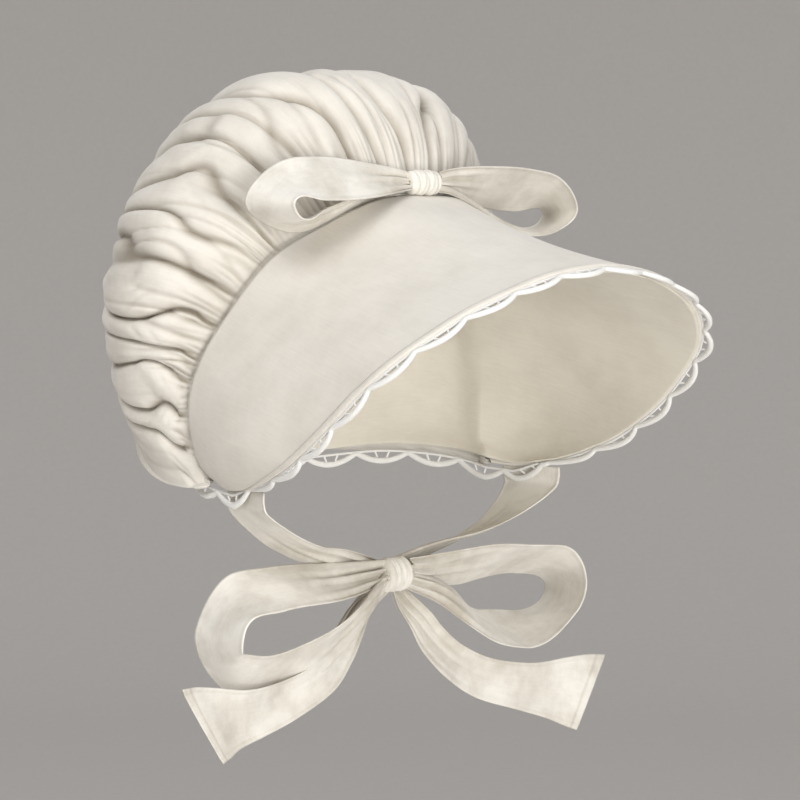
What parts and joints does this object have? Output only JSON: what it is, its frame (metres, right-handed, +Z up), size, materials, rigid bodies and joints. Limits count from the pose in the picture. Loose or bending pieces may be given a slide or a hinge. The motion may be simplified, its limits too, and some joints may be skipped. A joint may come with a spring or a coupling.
{
  "type": "poke bonnet",
  "caption": "Historic cloth bonnet with a stiff flaring brim, gathered crown, lace-edged opening, bow on top and ribbon ties in a bow under the chin.",
  "frame": {"origin": "the point inside the lining that rests on top of the wearer's head", "axes": "+Z up as worn, the opening and the wearer's face towards -Y, the wearer's right towards -X"},
  "size_m": [0.3, 0.2912, 0.3497],
  "materials": {
    "cream_cotton": "matt cotton",
    "lining_cotton": "matt cotton",
    "white_lace": "matt cotton lace",
    "cream_ribbon": "soft cotton ribbon"
  },
  "bodies": {
    "root": {"crown": "cream_cotton", "brim": "cream_cotton", "lining": "lining_cotton", "lace_edging": "white_lace", "top_bow_knot": "cream_ribbon", "top_bow_loop_right": "cream_ribbon", "top_bow_loop_left": "cream_ribbon", "chin_bow_knot": "cream_ribbon", "chin_bow_loop_right": "cream_ribbon", "chin_bow_loop_left": "cream_ribbon", "chin_bow_tail_right": "cream_ribbon", "chin_bow_tail_left": "cream_ribbon", "chin_tie_right": "cream_ribbon", "chin_tie_left": "cream_ribbon"}
  },
  "joints": []
}
